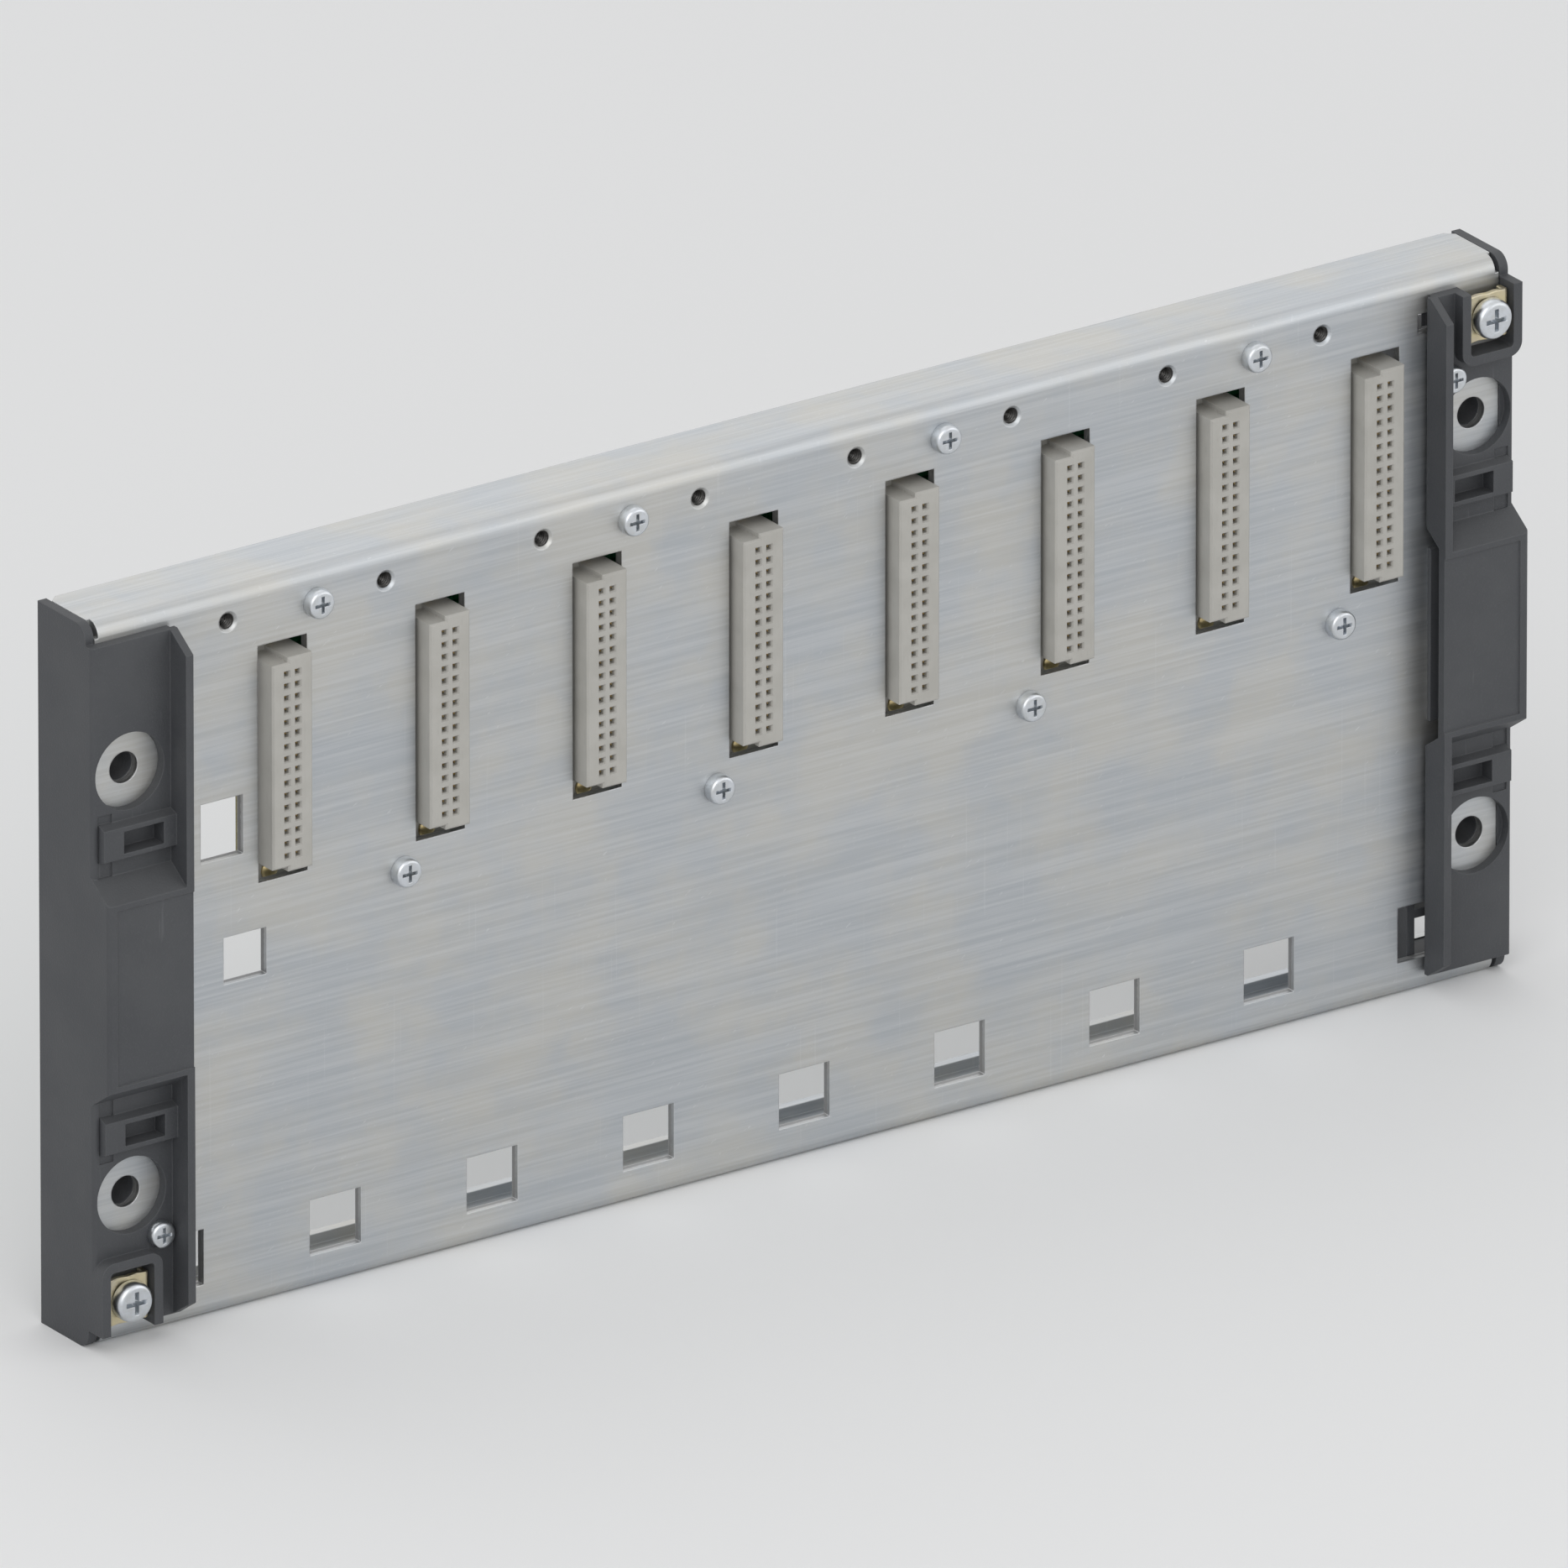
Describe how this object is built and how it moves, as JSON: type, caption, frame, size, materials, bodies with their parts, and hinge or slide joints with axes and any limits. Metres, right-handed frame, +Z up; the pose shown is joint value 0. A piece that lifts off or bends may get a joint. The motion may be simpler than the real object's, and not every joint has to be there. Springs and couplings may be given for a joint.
{
  "type": "plc rack",
  "caption": "Wall-mounted module rack: a folded steel channel with moulded end caps, a row of bus connectors, hook windows and ground terminals.",
  "frame": {"origin": "centre of the four fixing holes, on the plane of the panel that the rack is screwed to", "axes": "+X to the right seen from the front, -Y out of the front, +Z up"},
  "size_m": [0.3352, 0.024, 0.1516],
  "materials": {
    "sheet_steel": "zinc-plated sheet steel, fine grain",
    "cap_plastic": "fine spark-eroded grain",
    "board_laminate": "green solder mask",
    "connector_plastic": "glass-filled, satin",
    "rivet_brass": "plain",
    "plated_brass": "nickel plated",
    "plated_screw": "bright zinc",
    "plated_nut": "bright zinc",
    "clamp_plate": "yellowish zinc"
  },
  "bodies": {
    "root": {"chassis": "sheet_steel", "left_end_cap": "cap_plastic", "right_end_cap": "cap_plastic", "backplane_board": "board_laminate", "connector_rivets": "rivet_brass", "board_spacers": "plated_brass", "board_screws": "plated_screw", "left_ground_clamp": "clamp_plate", "right_ground_clamp": "clamp_plate", "left_ground_screw": "plated_screw", "right_ground_screw": "plated_screw", "ground_nuts": "plated_nut", "cap_screws": "plated_screw", "bus_connector_1": "connector_plastic", "bus_connector_2": "connector_plastic", "bus_connector_3": "connector_plastic", "bus_connector_4": "connector_plastic", "bus_connector_5": "connector_plastic", "bus_connector_6": "connector_plastic", "bus_connector_7": "connector_plastic", "bus_connector_8": "connector_plastic"}
  },
  "joints": []
}
